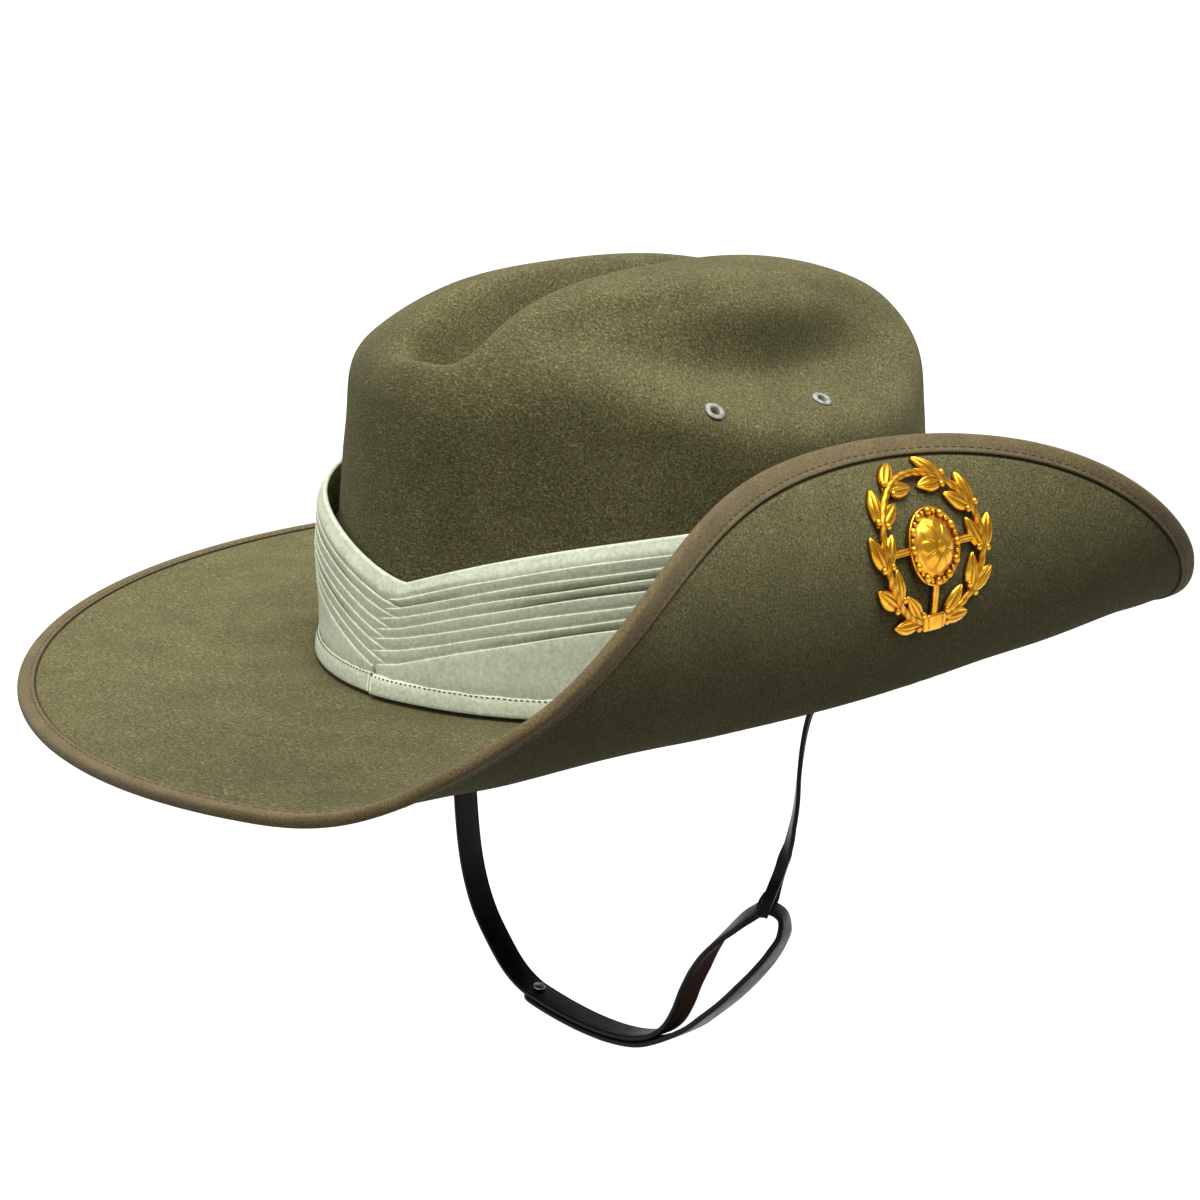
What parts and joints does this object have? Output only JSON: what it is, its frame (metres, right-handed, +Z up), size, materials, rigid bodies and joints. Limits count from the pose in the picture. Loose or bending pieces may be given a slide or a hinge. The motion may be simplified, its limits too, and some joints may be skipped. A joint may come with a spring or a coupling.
{
  "type": "slouch hat",
  "caption": "Felt slouch hat with one side of its brim turned up, a pleated cloth band, a gilt wreath ornament and a leather chin strap.",
  "frame": {"origin": "the middle of the head opening, on the plane where the outside of the crown meets the brim", "axes": "+Z up through the crown, -Y the front of the hat, +X the wearer's left, where the brim is turned up"},
  "size_m": [0.2934, 0.3841, 0.2592],
  "materials": {
    "felt": "matt khaki wool felt with a short nap",
    "braid": "ribbed braid, a little browner than the felt",
    "band_cloth": "pale greenish plain-woven cotton, pressed in pleats",
    "eyelet_metal": "pale satin paint",
    "gilt": "bright gilt",
    "pin_metal": "plain",
    "clasp_metal": "dull nickel",
    "strap_leather": "black grain side, rough dark brown underside",
    "stud_metal": "dull nickel"
  },
  "bodies": {
    "root": {"felt_body": "felt", "brim_binding": "braid", "puggaree": "band_cloth", "eyelet_left_front": "eyelet_metal", "eyelet_left_back": "eyelet_metal", "eyelet_right_front": "eyelet_metal", "eyelet_right_back": "eyelet_metal", "badge": "gilt", "badge_pin": "pin_metal", "brim_clasp": "clasp_metal", "chin_strap_long": "strap_leather", "chin_strap_short": "strap_leather", "strap_stud": "stud_metal"}
  },
  "joints": []
}
